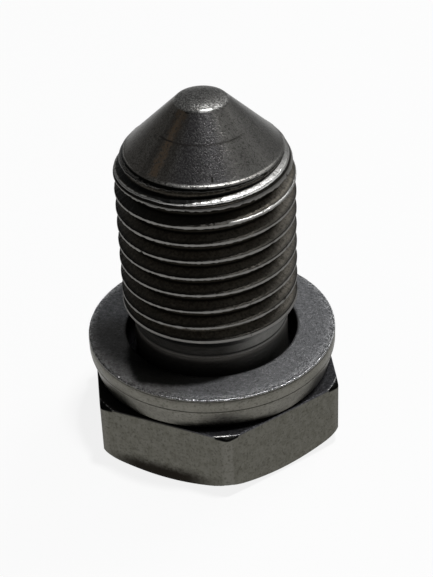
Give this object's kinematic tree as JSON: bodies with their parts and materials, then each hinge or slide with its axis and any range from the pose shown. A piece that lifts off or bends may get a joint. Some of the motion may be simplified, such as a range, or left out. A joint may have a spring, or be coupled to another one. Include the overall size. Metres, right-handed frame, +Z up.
{
  "type": "oil drain plug",
  "caption": "Hex-headed screw plug with a fine thread, a plain neck and a cone point, and a loose sealing ring held on the neck.",
  "frame": {"origin": "centre of the head's outer flat face, on the plug's axis", "axes": "+Z up the axis from the head to the point, Y square to one pair of the hexagon's flats, X through two of its corners"},
  "size_m": [0.0216, 0.0198, 0.0298],
  "materials": {
    "plug_steel": "worn dark grey steel, oily thread, light crests and edges",
    "ring_metal": "dull bluish grey top face with a bright worn rim, matte side"
  },
  "bodies": {
    "plug": {"drain_plug": "plug_steel"},
    "ring": {"sealing_ring": "ring_metal"}
  },
  "joints": [
    {"name": "ring_slide", "type": "slide", "parent": "plug", "child": "ring", "axis": [0, 0, 1], "range_m": [0, 0.0031]}
  ]
}
